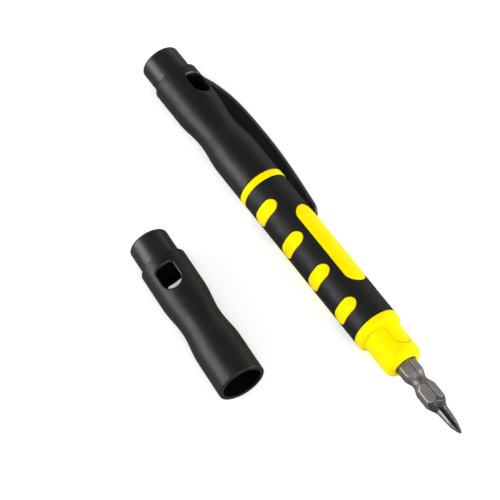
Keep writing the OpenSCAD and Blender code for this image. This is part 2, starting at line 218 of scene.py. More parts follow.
core_low, core_high = box_mm("handle_core")
sleeve_low, sleeve_high = box_mm("grip_sleeve")
front_bush_low, front_bush_high = box_mm("front_bush")
rear_bush_low, rear_bush_high = box_mm("rear_bush")
front_bit_low, front_bit_high = box_mm("front_bit")
rear_bit_low, rear_bit_high = box_mm("rear_bit")
front_room_x = front_bit_low.x - bit_end_room
rear_room_x = rear_bit_high.x + bit_end_room

core_mesh = bmesh.new()
turned(core_mesh, filleted([
    (front_room_x, 0, 0),
    (front_room_x, bit_end_room_r, 0),
    (front_bush_low.x, bit_end_room_r, 0),
    (front_bush_low.x, bush_room_r, 0),
    (core_high.x, bush_room_r, 0),
    (core_high.x, grip_r, flange_edge),
    (sleeve_high.x, grip_r, seam_edge),
    (sleeve_high.x, under_sleeve_r, 0),
    (sleeve_low.x, under_sleeve_r, 0),
    (sleeve_low.x, rear_ring_r, seam_edge),
    (core_low.x, rear_ring_r, seam_edge),
    (core_low.x, bush_room_r, 0),
    (rear_bush_high.x, bush_room_r, 0),
    (rear_bush_high.x, bit_end_room_r, 0),
    (rear_room_x, bit_end_room_r, 0),
    (rear_room_x, 0, 0),
]), even_turns(144))
handle = new_piece("handle_core_moulding", core_mesh, yellow_plastic)
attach(handle, "driver")
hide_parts("handle_core")

# Pads: the raised ovals and long pads of the same yellow moulding, which come up through windows in the
# sleeve. Two long pads lie opposite each other, with a row of ovals down each side between them.
# Each stands a hair proud of the sleeve and has a rounded rim.
pad_turn = radians(33.5)
pad_r = 7.75
pad_rim = 0.28
pad_foot = 0.3
pad_foot_r = under_sleeve_r - pad_foot
long_pad_len = 32.5
long_pad_reach = radians(31)
long_pad_half_w = grip_r * sin(long_pad_reach)
long_pad_half = long_pad_len / 2 - long_pad_half_w
oval_half_w = 2.4
oval_reach = radians(42)
oval_half = grip_r * sin(oval_reach) - oval_half_w
oval_count = 4
oval_from_end = 8.3
grip_front_x = -3.1
grip_len = 58.7
grip_mid_x = grip_front_x - grip_len / 2
oval_first_x = grip_front_x - oval_from_end
oval_pitch = (grip_len - 2 * oval_from_end) / (oval_count - 1)


def stadium(half, r, arc_steps=18, side_steps=10):
    """Points (along, across) round a bar of half length half with round ends of radius r."""
    points = []
    for end in (1, -1):
        for i in range(arc_steps + 1):
            a = pi * (i / arc_steps - 0.5)
            points.append((end * (half + r * cos(a)), end * r * sin(a)))
        for i in range(1, side_steps):
            points.append((end * half * (1 - 2 * i / side_steps), end * r))
    return points


def wrapped(x, across, r, turn=0.0):
    """Point of the grip over a flat drawing: across is the distance sideways, seen square on."""
    return spot(x, r, turn + asin(across / grip_r))


def one_pad(half, half_w, lengthwise):
    """One pad facing straight up in the middle of the tool, from its foot over the rim to its crown."""
    rim = [(pad_rim * (1 - cos(a)), pad_r - pad_rim * (1 - sin(a))) for a in steps_between(0, pi / 2, 5)]
    crown = [(half_w * share, pad_r) for share in (0.25, 0.5, 0.75, 1)]
    mesh = bmesh.new()
    rows = []
    for inset, r in [(half_w, pad_foot_r), (0, pad_foot_r)] + rim + crown:
        row = stadium(half, half_w - inset)
        if not lengthwise:
            row = [(-across, along) for along, across in row]
        rows.append([mesh.verts.new(wrapped(x, across, r)) for x, across in row])
    for first, second in zip(rows, rows[1:]):
        bridge(mesh, first, second)
    return mesh


def pad_rows_tree():
    """Sets one pad out in a row along the grip and in a second row on the opposite side."""
    tree = bpy.data.node_groups.new("pad_rows", "GeometryNodeTree")
    for name, kind in (("Pad", "Geometry"), ("Per Row", "Int"), ("First", "Float"), ("Pitch", "Float"),
                       ("Turn", "Float"), ("Plastic", "Material")):
        tree.interface.new_socket(name, in_out="INPUT", socket_type="NodeSocket" + kind)
    tree.interface.new_socket("Pads", in_out="OUTPUT", socket_type="NodeSocketGeometry")
    given = tree.nodes.new("NodeGroupInput").outputs

    def maths(operation, first, second):
        return node(tree, "ShaderNodeMath", {0: first, 1: second}, operation=operation).outputs[0]

    index = tree.nodes.new("GeometryNodeInputIndex").outputs[0]
    place_in_row = maths("MODULO", index, given["Per Row"])
    side = maths("FLOOR", maths("DIVIDE", index, given["Per Row"]), 0.0)
    along = maths("SUBTRACT", given["First"], maths("MULTIPLY", place_in_row, given["Pitch"]))
    turn = maths("ADD", given["Turn"], maths("MULTIPLY", side, pi))
    line = node(tree, "GeometryNodeMeshLine", {"Count": maths("MULTIPLY", given["Per Row"], 2.0)})
    spots = node(tree, "GeometryNodeSetPosition", {
        "Geometry": line.outputs[0],
        "Position": node(tree, "ShaderNodeCombineXYZ", {"X": along}).outputs[0]})
    facing = node(tree, "FunctionNodeEulerToRotation", {
        "Euler": node(tree, "ShaderNodeCombineXYZ", {"X": maths("MULTIPLY", turn, -1.0)}).outputs[0]})
    rows = node(tree, "GeometryNodeInstanceOnPoints", {
        "Points": spots.outputs[0], "Instance": given["Pad"], "Rotation": facing.outputs[0]})
    joined = node(tree, "GeometryNodeRealizeInstances", {"Geometry": rows.outputs[0]})
    coloured = node(tree, "GeometryNodeSetMaterial", {
        "Geometry": joined.outputs[0], "Material": given["Plastic"]})
    node(tree, "NodeGroupOutput", {"Pads": coloured.outputs[0]})
    return tree


def set_out(piece, tree, values):
    """Runs a geometry tree on a piece with the given inputs and keeps the result as a plain mesh."""
    modifier = piece.modifiers.new(tree.name, "NODES")
    modifier.node_group = tree
    for item in tree.interface.items_tree:
        if item.in_out == "INPUT" and item.name in values:
            modifier[item.identifier] = values[item.name]
    evaluated = piece.evaluated_get(bpy.context.evaluated_depsgraph_get())
    data = bpy.data.meshes.new_from_object(evaluated)
    piece.modifiers.clear()
    piece.data = data


pad_rows = pad_rows_tree()
for name, mesh, per_row, first_x, pitch, turn in (
    ("long_pads", one_pad(long_pad_half, long_pad_half_w, True), 1, grip_mid_x, 0.0, pad_turn),
    ("oval_pads", one_pad(oval_half, oval_half_w, False), oval_count, oval_first_x, oval_pitch,
     pad_turn + pi / 2),
):
    pads = new_piece(name, mesh, yellow_plastic)
    set_out(pads, pad_rows, {
        "Per Row": per_row, "First": first_x * mm, "Pitch": pitch * mm, "Turn": turn,
        "Plastic": yellow_plastic})
    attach(pads, "driver")

# Grip sleeve: a skin of soft black rubber moulded over the core, with a window for each pad. The lips of the
# windows and the two ends roll over a little, which leaves a fine dark line against the yellow.
sleeve_inner_r = 6.4
window_gap = 0.06
lip = 0.16
lip_turn = steps_between(0, pi / 2, 4)
long_window_reach = radians(39)

soft_rubber = moulded(
    "soft_rubber", pale=(0.006, 0.0063, 0.0072), deep=(0.0042, 0.0044, 0.005), gloss=(0.46, 0.58),
    grain=0.09, grain_depth=0.008, specular=0.3)


def window_patch(mesh, xs, turns, centre_x, turn, half, half_w, lengthwise):
    """Part of the sleeve between stations xs and directions turns, both skins, round one window."""
    edge = [(x, turns[0]) for x in xs[:-1]] + [(xs[-1], a) for a in turns[:-1]]
    edge += [(x, turns[-1]) for x in xs[:0:-1]] + [(xs[0], a) for a in turns[:0:-1]]
    pairs = []
    for x, a in edge:
        outer = Vector((x - centre_x, grip_r * sin(a - turn)))
        core = Vector((max(-half, min(half, outer.x)), 0))
        if not lengthwise:
            core = Vector((0, max(-half, min(half, outer.y))))
        pairs.append((outer, core, (outer - core).normalized()))

    def row(r, share=0.0, offset=0.0):
        points = []
        for outer, core, outward in pairs:
            rim = core + outward * (half_w + window_gap + offset)
            x, across = rim.lerp(outer, share)
            points.append(mesh.verts.new(wrapped(centre_x + x, across, r, turn)))
        return points

    rows = [row(grip_r, share, lip) for share in (1, 0.8, 0.6, 0.4, 0.2)]
    rows += [row(grip_r - lip * (1 - cos(a)), 0, lip * (1 - sin(a))) for a in lip_turn]
    rows += [row(sleeve_inner_r, share) for share in (0, 0.5, 1)]
    for first, second in zip(rows, rows[1:]):
        bridge(mesh, first, second)


sleeve_ends = (sleeve_low.x + lip, sleeve_high.x - lip)
oval_xs = sorted(oval_first_x - oval_pitch * i for i in range(oval_count))
bay_bounds = [sleeve_ends[0]] + [(a + b) / 2 for a, b in zip(oval_xs, oval_xs[1:])] + [sleeve_ends[1]]
bays = [steps_between(low, high, 18) for low, high in zip(bay_bounds, bay_bounds[1:])]
all_bays = sorted(set(x for bay in bays for x in bay))
sleeve_mesh = bmesh.new()
sleeve_turns = []
for side in (0, pi):
    long_middle = pad_turn + side
    oval_middle = long_middle + pi / 2
    long_turns = steps_between(long_middle - long_window_reach, long_middle + long_window_reach, 30)
    oval_turns = steps_between(long_turns[-1], long_middle + pi - long_window_reach, 40)
    window_patch(sleeve_mesh, all_bays, long_turns, grip_mid_x, long_middle,
                 long_pad_half, long_pad_half_w, True)
    for bay, oval_x in zip(bays, oval_xs):
        window_patch(sleeve_mesh, bay, oval_turns, oval_x, oval_middle, oval_half, oval_half_w, False)
    sleeve_turns += long_turns[:-1] + oval_turns[:-1]
for end, outward in zip(sleeve_ends, (-1, 1)):
    rolled = [(end + outward * lip * sin(a), grip_r - lip * (1 - cos(a))) for a in lip_turn]
    turned(sleeve_mesh, rolled + [(end + outward * lip, sleeve_inner_r), (end, sleeve_inner_r)], sleeve_turns)
sleeve = new_piece("grip_sleeve_skin", sleeve_mesh, soft_rubber)
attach(sleeve, "driver")
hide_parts("grip_sleeve")

# Bushes: the collars at the two ends of the handle, which the caps push onto, moulded of the same yellow
# plastic as the core. Each is pressed into the core up to its shoulder, holds a steel socket inside, and has
# a round-ended recess in its side for the snap of a cap.
collar_r = 6.3
nose_round = 2.2
nose_hole_r = 3.724
nose_hole_edge = 0.25
nose_lip = 0.8
socket_room_r = 4.77
bush_inner_r = 5.57
recess_half_w = 3.45
recess_len = 8.7
recess_depth = 0.45
recess_edge = 1.2
recess_reach = radians(42)
recess_shade_ramp = 0.25
shoulder_gap = 0.05
fine_past_recess = 0.7


def recess(along, turn):
    """Depth of the snap recess at a distance from the shoulder and a direction round the collar."""
    if cos(turn - pad_turn) < 0:
        return 0
    beyond = max(0, along - (recess_len - recess_half_w))
    inside = recess_half_w - hypot(beyond, collar_r * sin(turn - pad_turn))
    share = max(0, min(1, inside / recess_edge + 0.5))
    return recess_depth * share * share * (3 - 2 * share)


bush_turns = steps_between(pad_turn - recess_reach, pad_turn + recess_reach, 84)[:-1]
bush_turns += steps_between(pad_turn + recess_reach, pad_turn + full_turn - recess_reach, 96)[:-1]
for name, replaced, shoulder, nose, inner_x in (
    ("front_collar_bush", "front_bush", core_high.x, front_bush_high.x, front_bush_low.x),
    ("rear_collar_bush", "rear_bush", core_low.x, rear_bush_low.x, rear_bush_high.x),
):
    out = 1 if nose > shoulder else -1
    fine = [shoulder + out * along
            for along in steps_between(shoulder_gap, recess_len + fine_past_recess, 70)]
    bush_mesh = bmesh.new()
    turned(bush_mesh, filleted([
        (inner_x, socket_room_r, 0),
        (nose - out * nose_lip, socket_room_r, 0),
        (nose - out * nose_lip, nose_hole_r, 0),
        (nose, nose_hole_r, nose_hole_edge),
        (nose, collar_r, nose_round),
        *[(x, collar_r, 0) for x in reversed(fine)],
        (fine[0], bush_inner_r, 0),
        (inner_x, bush_inner_r, 0),
    ], 7), bush_turns, closed=True,
        dent=lambda x, r, turn: recess((x - shoulder) * out, turn) if r > bush_inner_r else 0)
    # The wall of the recess that faces away from the light gets painted shade.
    shaded = bush_mesh.verts.layers.float.new("painted_shade")
    for point in bush_mesh.verts:
        along = (point.co.x - shoulder) * out
        turn = atan2(point.co.y, point.co.z)
        wall = recess(along, turn) / recess_depth
        away_from_light = (recess_shade_ramp - sin(turn - pad_turn)) / (2 * recess_shade_ramp)
        point[shaded] = 4 * wall * (1 - wall) * max(0, min(1, away_from_light)) if along > 0 else 0
    bush = new_piece(name, bush_mesh, yellow_plastic)
    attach(bush, "driver")
    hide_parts(replaced)

# Sockets and spring rings: in each bush a turned steel sleeve with a hexagonal hole, and in its groove a
# split ring of spring wire that holds the bit by its neck. Bright steel with fine turning marks.


def steel(name, colour, worn, roughness, marks, mark_depth, stretch=(1, 1, 1)):
    """Bare steel: cloudy colour, uneven polish and fine marks, drawn out along an axis by stretch."""
    cloud_size = 1.6
    material, tree, shader, place = new_material(name)
    cloud = spread(tree, noise(tree, place, cloud_size, 4.0), 0, 1)
    tree.links.new(between(tree, cloud, colour, worn), shader.inputs["Base Color"])
    drawn = node(tree, "ShaderNodeMapping", {"Vector": place, "Scale": stretch}).outputs["Vector"]
    fine = noise(tree, drawn, marks, 3.0)
    tree.links.new(spread(tree, fine, *roughness), shader.inputs["Roughness"])
    bump = node(tree, "ShaderNodeBump", {"Height": fine, "Strength": 0.5, "Distance": mark_depth * mm})
    tree.links.new(bump.outputs["Normal"], shader.inputs["Normal"])
    shader.inputs["Metallic"].default_value = 1.0
    return material, tree, shader


socket_steel = steel("socket_steel", (0.5, 0.5, 0.5), (0.42, 0.42, 0.43), (0.24, 0.38), 0.1, 0.004,
                     stretch=(1, 0.03, 0.03))[0]
spring_steel = steel("spring_steel", (0.45, 0.45, 0.46), (0.36, 0.36, 0.38), (0.22, 0.34), 0.08, 0.003)[0]
for name, metal in (("front_socket", socket_steel), ("rear_socket", socket_steel),
                    ("front_retaining_ring", spring_steel), ("rear_retaining_ring", spring_steel)):
    frame["nodes"][name].data.materials.clear()
    frame["nodes"][name].data.materials.append(metal)

# Bits: double-ended hex bars of hardened tool steel, one in each socket, with a cross point at the outer
# end and a flat blade at the inner one. Turned from hex stock, so that the flats run out in arcs at the necks
# and cones, and ground to the points. Sand-blasted grey and bright along the edges; where it was cut it is
# rougher, shows turning rings and is painted darker, painted shade for the dark it mirrors.
bit_half = 30.0
hex_half = 3.175
bit_corner_r = 3.496
mid_hex = 5.85
end_hex = 12.85
neck_r = 2.5
cone_from = 17.15
shank_from = 20.75
shank_r = 2.0
point_from = 24.85
point_r = 1.7
point_end_r = 0.35
point_bulge = 1.8
blade_half = 0.45
blade_flat_len = 3.2
hex_turn = radians(-26.5)
flute_turn = radians(-11.5)
flute_rise = tan(radians(4.3))
flute_from = 21.4
edge_round = 0.06
edge_wear = 0.04
corner_dull_shade = 0.6
neck_dull_shade = 0.3
tip_dull_shade_from = 26.5
turning_slack = 0.02
tool_mark = 0.3
cut_roughness = 0.62
cut_shade_dark = (0.04, 0.037, 0.036)
cut_shade_pale = (0.12, 0.113, 0.108)
bare_edge = (0.7, 0.68, 0.66)

bit_steel, bit_tree, bit_shader = steel(
    "bit_steel", (0.3, 0.277, 0.264), (0.25, 0.232, 0.222), (0.36, 0.5), 0.07, 0.008)
blasted = bit_shader.inputs["Base Color"].links[0].from_socket
polish = bit_shader.inputs["Roughness"].links[0].from_socket
# Cut faces are made rougher and painted darker with turning rings: painted shade for the dark they mirror.
dull_shade_points = marked_points(bit_tree, "dull_and_shade")
bit_place = node(bit_tree, "ShaderNodeSeparateXYZ", {
    "Vector": bit_tree.nodes["Texture Coordinate"].outputs["Object"]}).outputs["X"]
tool_marks = node(bit_tree, "ShaderNodeTexNoise", {
    "W": bit_place, "Scale": 1 / (tool_mark * mm), "Detail": 1.0}, noise_dimensions="1D").outputs["Fac"]
cut_shade_steel = between(bit_tree, spread(bit_tree, tool_marks, 0, 1), cut_shade_dark, cut_shade_pale)
darkened = between(bit_tree, dull_shade_points, blasted, cut_shade_steel)
bit_tree.links.new(between(bit_tree, marked_points(bit_tree, "edge"), darkened, bare_edge),
                   bit_shader.inputs["Base Color"])
dulled = node(bit_tree, "ShaderNodeMix", {0: dull_shade_points, 2: polish, 3: cut_roughness}).outputs[0]
bit_tree.links.new(dulled, bit_shader.inputs["Roughness"])


def turned_r(x):
    """Radius that a bit is turned to at a distance from its middle, towards its cross point."""
    away = abs(x)
    if mid_hex < away < end_hex:
        middle = (mid_hex + end_hex) / 2
        share = (away - middle) / (end_hex - middle)
        return bit_corner_r - (bit_corner_r - neck_r) * (1 + cos(pi * share)) / 2
    if away <= cone_from:
        return bit_corner_r
    if away <= shank_from:
        return bit_corner_r + (shank_r - bit_corner_r) * (away - cone_from) / (shank_from - cone_from)
    if x < 0:
        return shank_r
    if x <= point_from:
        return shank_r + (point_r - shank_r) * (x - shank_from) / (point_from - shank_from)
    share = (x - point_from) / (bit_half - point_from)
    return point_r - (point_r - point_end_r) * share ** point_bulge


def bit_surface(x, turn):
    """Radius of a bit's surface, how near it is to an edge, and how much it is dulled and painted in shade, 0
    to 1.
    """
    grazing, no_cut = 0.02, 99
    lathe = turned_r(x)
    off_flat = (turn - hex_turn + pi / 6) % (pi / 3) - pi / 6
    flat = hex_half / cos(off_flat)
    ground = no_cut
    if x > 0:
        off_flute = (turn - flute_turn + pi / 4) % (pi / 2) - pi / 4
        root = point_end_r + (bit_half - x) * flute_rise
        opening = cos(off_flute) - abs(sin(off_flute))
        if opening > grazing:
            ground = max(root / opening, (flute_from - x) / cos(off_flute))
    else:
        off_blade = (turn - flute_turn + pi / 2) % pi - pi / 2
        ramp = max(0, x + bit_half - blade_flat_len) / (bit_half - blade_flat_len - shank_from)
        half = blade_half + (shank_r - blade_half) * ramp
        if cos(off_blade) > grazing:
            ground = half / cos(off_blade)
    lowest, second = sorted((lathe, flat, ground))[:2]
    near = max(0, 1 - (second - lowest) / edge_round)
    worn = max(0, 1 - (second - lowest) / edge_wear)
    # Ground faces, turned faces and the tip are made rougher and painted in shade, the tip more towards its
    # end.
    dull_shade = max(0, x - tip_dull_shade_from) / (bit_half - tip_dull_shade_from)
    if lowest == ground:
        dull_shade = 1.0
    elif lowest == lathe and abs(x) < shank_from:
        on_corner = lathe >= bit_corner_r - turning_slack
        dull_shade = corner_dull_shade if on_corner else neck_dull_shade if abs(x) < end_hex else 1.0
    return lowest - near * near * edge_round / 4, worn, dull_shade


# Directions over one flat of the hex, in degrees, closer together where cuts meet.
sector = [-30, -28.2, -26.4, -25.4, -24.75, -24, -22.5, -21, -19.5, -18, -16.5, -15.2, -14, -12.8, -11.2,
          -9.5, -7.5, -5.5, -3.5, -1.5, 0.5, 2.5, 4.5, 6.5, 8.5, 10.5, 12, 13.5, 14.8, 16, 17.2, 18.6,
          20, 21.5, 22.8, 24, 24.75, 25.4, 26.4, 28.2]
bit_turns = [hex_turn + radians(60 * flat + offset) for flat in range(6) for offset in sector]
bit_bounds = (-bit_half, blade_flat_len - bit_half, -shank_from, -cone_from, -end_hex, -mid_hex,
              mid_hex, end_hex, cone_from, shank_from, point_from, bit_half)
bit_steps = (8, 16, 16, 14, 24, 16, 40, 28, 32, 26, 44)
bit_stations = sorted({x for low, high, count in zip(bit_bounds, bit_bounds[1:], bit_steps)
                       for x in steps_between(low, high, count)})
for name, replaced, low, high, out in (
    ("front_bit_steel", "front_bit", front_bit_low, front_bit_high, 1),
    ("rear_bit_steel", "rear_bit", rear_bit_low, rear_bit_high, -1),
):
    middle = (low.x + high.x) / 2
    bit_mesh = bmesh.new()
    edge = bit_mesh.verts.layers.float.new("edge")
    dull_and_shade = bit_mesh.verts.layers.float.new("dull_and_shade")
    rows = []
    for x in bit_stations:
        row = []
        for turn in bit_turns:
            r, worn, dull_shade = bit_surface(x, turn)
            point = bit_mesh.verts.new(spot(middle + out * x, r, turn))
            point[edge] = worn
            point[dull_and_shade] = dull_shade
            row.append(point)
        rows.append(row)
    rows.insert(0, [bit_mesh.verts.new((middle - out * bit_half, 0, 0))] * len(bit_turns))
    rows.append([bit_mesh.verts.new((middle + out * bit_half, 0, 0))] * len(bit_turns))
    for first, second in zip(rows, rows[1:]):
        bridge(bit_mesh, first, second)
    bit = new_piece(name, bit_mesh, bit_steel, sharp=radians(30))
    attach(bit, replaced)
    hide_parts(replaced)

# Cap shells: tubes moulded of satin black plastic, with a waist for the fingers, open at the mouth that
# pushes onto a collar and closed by a plug at the other end. A slot with bevelled rims goes through both
# walls near the plug. One cap sits on the rear collar, and the other lies beside the tool.
cap_len = 48.0
cap_mouth_r = 7.75
cap_end_r = 7.65
waist_r = 6.75
waist_at = 24.4
waist_half = 11.0
mouth_bore_r = 6.36
mouth_depth = 13.5
cap_bore_r = 5.5
cap_edge = 0.4
mouth_edge = 0.2
slot_half_w = 3.15
slot_from = 35.7
slot_to = 44.1
slot_corner = 1.2
slot_rim = 0.45
# Bevel of the slot's rim as shares of it: out from the slot's outline, and down from the shell's surface.
rim_profile = ((1, 0), (0.92, 0.03), (0.84, 0.1), (0.1, 0.84), (0.03, 0.92), (0, 1))
rear_slot_turn = radians(32)
front_slot_turn = radians(-17.5)
patch_from = 33.0
patch_to = 46.4
patch_reach = 14
turns_round = 120
mouth_margin = 0.6
end_margin = 0.7
slack = 0.01

shell_black = moulded(
    "shell_black", pale=(0.0052, 0.0052, 0.0053), deep=(0.0036, 0.0036, 0.0037), gloss=(0.38, 0.48),
    grain=0.11, grain_depth=0.007, specular=0.35)


def shell_r(depth):
    """Outer radius of a cap's shell at a distance from its mouth."""
    plain = cap_mouth_r + (cap_end_r - cap_mouth_r) * depth / cap_len
    off = abs(depth - waist_at) / waist_half
    return plain if off >= 1 else plain - (plain - waist_r) * (1 + cos(pi * off)) / 2


def slot_gap(depth, across):
    """Distance from the slot's outline, negative inside it: round towards the mouth, square at the plug."""
    if depth < slot_from + slot_half_w:
        return hypot(depth - slot_from - slot_half_w, across) - slot_half_w
    past = depth - (slot_to - slot_corner)
    aside = abs(across) - (slot_half_w - slot_corner)
    return (hypot(past, aside) if past > 0 and aside > 0 else max(past, aside)) - slot_corner


def slot_edge(core, outer, gap):
    """Point between core, inside the slot, and outer, outside it, at the given gap from the outline."""
    near, far = 0.0, 1.0
    for _ in range(30):
        middle = (near + far) / 2
        if slot_gap(*core.lerp(outer, middle)) < gap:
            near = middle
        else:
            far = middle
    return core.lerp(outer, far)


def slot_patch(mesh, depths, offs, turn):
    """Part of a shell, both skins, round one slot that faces turn."""
    edge = [(d, offs[0]) for d in depths[:-1]] + [(depths[-1], a) for a in offs[:-1]]
    edge += [(d, offs[-1]) for d in depths[:0:-1]] + [(depths[0], a) for a in offs[:0:-1]]

    def row(points, height):
        made = []
        for depth, across in points:
            up = height(depth, across)
            made.append(mesh.verts.new((-depth, up * sin(turn) + across * cos(turn),
                                        up * cos(turn) - across * sin(turn))))
        return made

    def outside(depth, across):
        return sqrt(shell_r(depth) ** 2 - across ** 2)

    def inside(depth, across):
        return sqrt(cap_bore_r ** 2 - across ** 2)

    outer = [Vector((d, shell_r(d) * sin(a))) for d, a in edge]
    inner = [Vector((d, cap_bore_r * sin(a))) for d, a in edge]
    cores = [Vector((max(slot_from + slot_half_w, min(slot_to - slot_half_w, d)), 0)) for d, a in edge]
    rim_points = [slot_edge(core, point, slot_rim) for core, point in zip(cores, outer)]
    rows = [row([rim.lerp(point, share) for rim, point in zip(rim_points, outer)], outside)
            for share in (1, 0.8, 0.6, 0.4, 0.2)]
    for gap, drop in rim_profile:
        points = [slot_edge(core, point, slot_rim * gap) for core, point in zip(cores, outer)]
        rows.append(row(points, lambda d, t: outside(d, t) - slot_rim * drop))
    rows.append(row(points, inside))
    for share in (0.5, 1):
        rows.append(row([p.lerp(q, share) for p, q in zip(points, inner)], inside))
    for first, second in zip(rows, rows[1:]):
        bridge(mesh, first, second)


def cap_shell_mesh(slot_turn):
    """A cap's shell with its mouth at the origin, facing forwards."""
    wall = steps_between(mouth_margin, cap_len - end_margin, 94)
    patch_depths = steps_between(patch_from, patch_to, 28)
    wall = [d for d in wall if not patch_from <= d <= patch_to] + patch_depths
    bore = [d for d in steps_between(mouth_depth, cap_len, 12) if not patch_from <= d <= patch_to]
    bore = sorted(bore + patch_depths)
    outline = filleted([
        (0, mouth_bore_r, mouth_edge),
        (0, cap_mouth_r, cap_edge),
        *[(-d, shell_r(d), 0) for d in sorted(wall)],
        (-cap_len, cap_end_r, cap_edge),
        *[(-d, cap_bore_r, 0) for d in reversed(bore)],
        (-mouth_depth, mouth_bore_r, 0),
    ])
    turns = even_turns(turns_round, slot_turn)
    half_way = turns_round // 2
    open_cells = {i % turns_round for side in (0, half_way)
                  for i in range(side - patch_reach, side + patch_reach)}
    mesh = bmesh.new()
    rows = [[mesh.verts.new(spot(x, r, a)) for a in turns] for x, r in outline]
    for i, first in enumerate(rows):
        following = (i + 1) % len(rows)
        in_patch = all(patch_from - slack < -outline[k][0] < patch_to + slack for k in (i, following))
        bridge(mesh, first, rows[following], skip=open_cells if in_patch else ())
    step = full_turn / turns_round
    offs = [step * i for i in range(-patch_reach, patch_reach + 1)]
    for side in (0, pi):
        slot_patch(mesh, patch_depths, offs, slot_turn + side)
    return mesh


mouth = next(mount for mount in frame["record"]["mounts"] if mount["name"] == "front_cap_mouth")
mouth_place = Vector(mouth["pos_m"]) / mm
mouth_turn = Vector((1, 0, 0)).rotation_difference(Vector(mouth["axis"]))
rear_mouth = Vector((box_mm("rear_cap_shell")[1].x, 0, 0))
caps = (
    ("rear_cap", "rear", rear_slot_turn, Matrix.Translation(rear_mouth)),
    ("front_cap", "front", front_slot_turn,
     Matrix.Translation(mouth_place) @ mouth_turn.to_matrix().to_4x4()),
)
for body, _, slot_turn, place in caps:
    shell_mesh = cap_shell_mesh(slot_turn)
    # Inside the bore the shell gets painted shade: darker and with less shine.
    shaded = shell_mesh.verts.layers.float.new("painted_shade")
    for point in shell_mesh.verts:
        in_bore = hypot(point.co.y, point.co.z) < mouth_bore_r + slack and point.co.x < -mouth_edge
        point[shaded] = float(in_bore)
    shell_mesh.transform(place)
    shell = new_piece(body + "_shell_moulding", shell_mesh, shell_black, sharp=radians(50))
    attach(shell, body)
    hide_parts(body + "_shell")

# End plugs and discs: a stepped plug of black plastic is pressed into the closed end of each cap, and a
# nickel-plated disc is let into its face. The disc was turned, which shows as fine rings.
plug_r = 6.55
plug_seat_r = 5.45
plug_seat = 3.4
plug_round = 0.9
plug_seat_edge = 0.3
plug_step_edge = 0.15
plug_hidden = 0.1
cap_total = 57.4
disc_r = 5.0
disc_pocket_r = 5.05
pocket_edge = 0.1
disc_t = 2.0
disc_proud = 0.1
disc_edge = 0.25
disc_back_edge = 0.1
disc_rings = (4.4, 3.6, 2.8, 2.0, 1.2, 0.5)
nickel = (0.66, 0.66, 0.67)
tarnished = (0.56, 0.56, 0.56)
tarnish_size = 1.2
ring_depth = 0.01

plug_black = moulded(
    "plug_black", pale=(0.0055, 0.0055, 0.0057), deep=(0.004, 0.004, 0.0041), gloss=(0.32, 0.42),
    grain=0.14, grain_depth=0.008, specular=0.48)
disc_nickel, disc_tree, disc_shader, disc_place = new_material("disc_nickel")
rings = node(disc_tree, "ShaderNodeTexNoise", {
    "W": marked_points(disc_tree, "from_middle"), "Scale": 9.0, "Detail": 4.0},
    noise_dimensions="1D").outputs["Fac"]
tarnish = spread(disc_tree, noise(disc_tree, disc_place, tarnish_size, 4.0), 0, 1)
disc_tree.links.new(between(disc_tree, tarnish, nickel, tarnished), disc_shader.inputs["Base Color"])
disc_tree.links.new(spread(disc_tree, rings, 0.26, 0.42), disc_shader.inputs["Roughness"])
ring_bump = node(disc_tree, "ShaderNodeBump", {
    "Height": rings, "Strength": 0.5, "Distance": ring_depth * mm})
disc_tree.links.new(ring_bump.outputs["Normal"], disc_shader.inputs["Normal"])
disc_shader.inputs["Metallic"].default_value = 1.0

for body, end, _, place in caps:
    plug_mesh = bmesh.new()
    turned(plug_mesh, filleted([
        (plug_seat - cap_len, 0, 0),
        (plug_seat - cap_len, plug_seat_r, plug_seat_edge),
        (-cap_len, plug_seat_r, 0),
        (-cap_len, plug_r, plug_step_edge),
        (-cap_total, plug_r, plug_round),
        (-cap_total, disc_pocket_r, pocket_edge),
        (disc_t - disc_proud - cap_total, disc_pocket_r, 0),
        (disc_t - disc_proud - cap_total, 0, 0),
    ], 8), even_turns(120))
    # The plug's part inside the cap gets painted shade: darker and with less shine.
    shaded = plug_mesh.verts.layers.float.new("painted_shade")
    for point in plug_mesh.verts:
        point[shaded] = float(point.co.x > plug_hidden - cap_len)
    plug_mesh.transform(place)
    plug = new_piece(end + "_plug_moulding", plug_mesh, plug_black)
    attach(plug, body)
    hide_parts(end + "_end_plug")

    face_x = -cap_total - disc_proud
    disc_mesh = bmesh.new()
    turned(disc_mesh, filleted([
        (face_x + disc_t, 0, 0),
        (face_x + disc_t, disc_r, disc_back_edge),
        (face_x, disc_r, disc_edge),
        *[(face_x, r, 0) for r in disc_rings],
        (face_x, 0, 0),
    ]), even_turns(120))
    from_middle = disc_mesh.verts.layers.float.new("from_middle")
    for point in disc_mesh.verts:
        point[from_middle] = hypot(point.co.y, point.co.z)
    disc_mesh.transform(place)
    disc = new_piece(end + "_disc_nickel", disc_mesh, disc_nickel)
    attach(disc, body)
    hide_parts(end + "_end_disc")

# Pocket clip: a bowed strip of the rear cap's black plastic with a round tip. It lies on the shell near the
# plug, rises clear of the waist and comes back down beside the grip, and springs a little. Its outer face
# is as smooth as the shell; its sides and underside are painted a lighter grey, painted light for the light
# they catch.
clip_turn = radians(107)
clip_half_w = 3.4
clip_t = 1.3
clip_edge = 0.6
clip_under_edge = 0.25
clip_edge_share = 0.6
clip_under_share = 0.3
clip_insets = (clip_half_w, 2.6, 1.8, 1.1)
clip_seat_r = 7.75
clip_seat_len = 4.6
clip_low, clip_high = box_mm("pocket_clip")
clip_root_x = clip_low.x
clip_len = clip_high.x - clip_low.x
clip_root_r = 8.0
clip_top_at = 29.4
clip_top_r = 12.5
clip_tip_r = 9.45
clip_start = 9.5
clip_shoulder = 9.6
clip_slope = tan(radians(17))
clip_droop = 1.5
clip_third = (clip_len - clip_top_at) / 3
clip_under_r = clip_top_r - clip_t
clip_rise = [(0, clip_root_r), (clip_start, clip_root_r + clip_start * clip_slope),
             (clip_shoulder, clip_top_r), (clip_top_at, clip_top_r)]
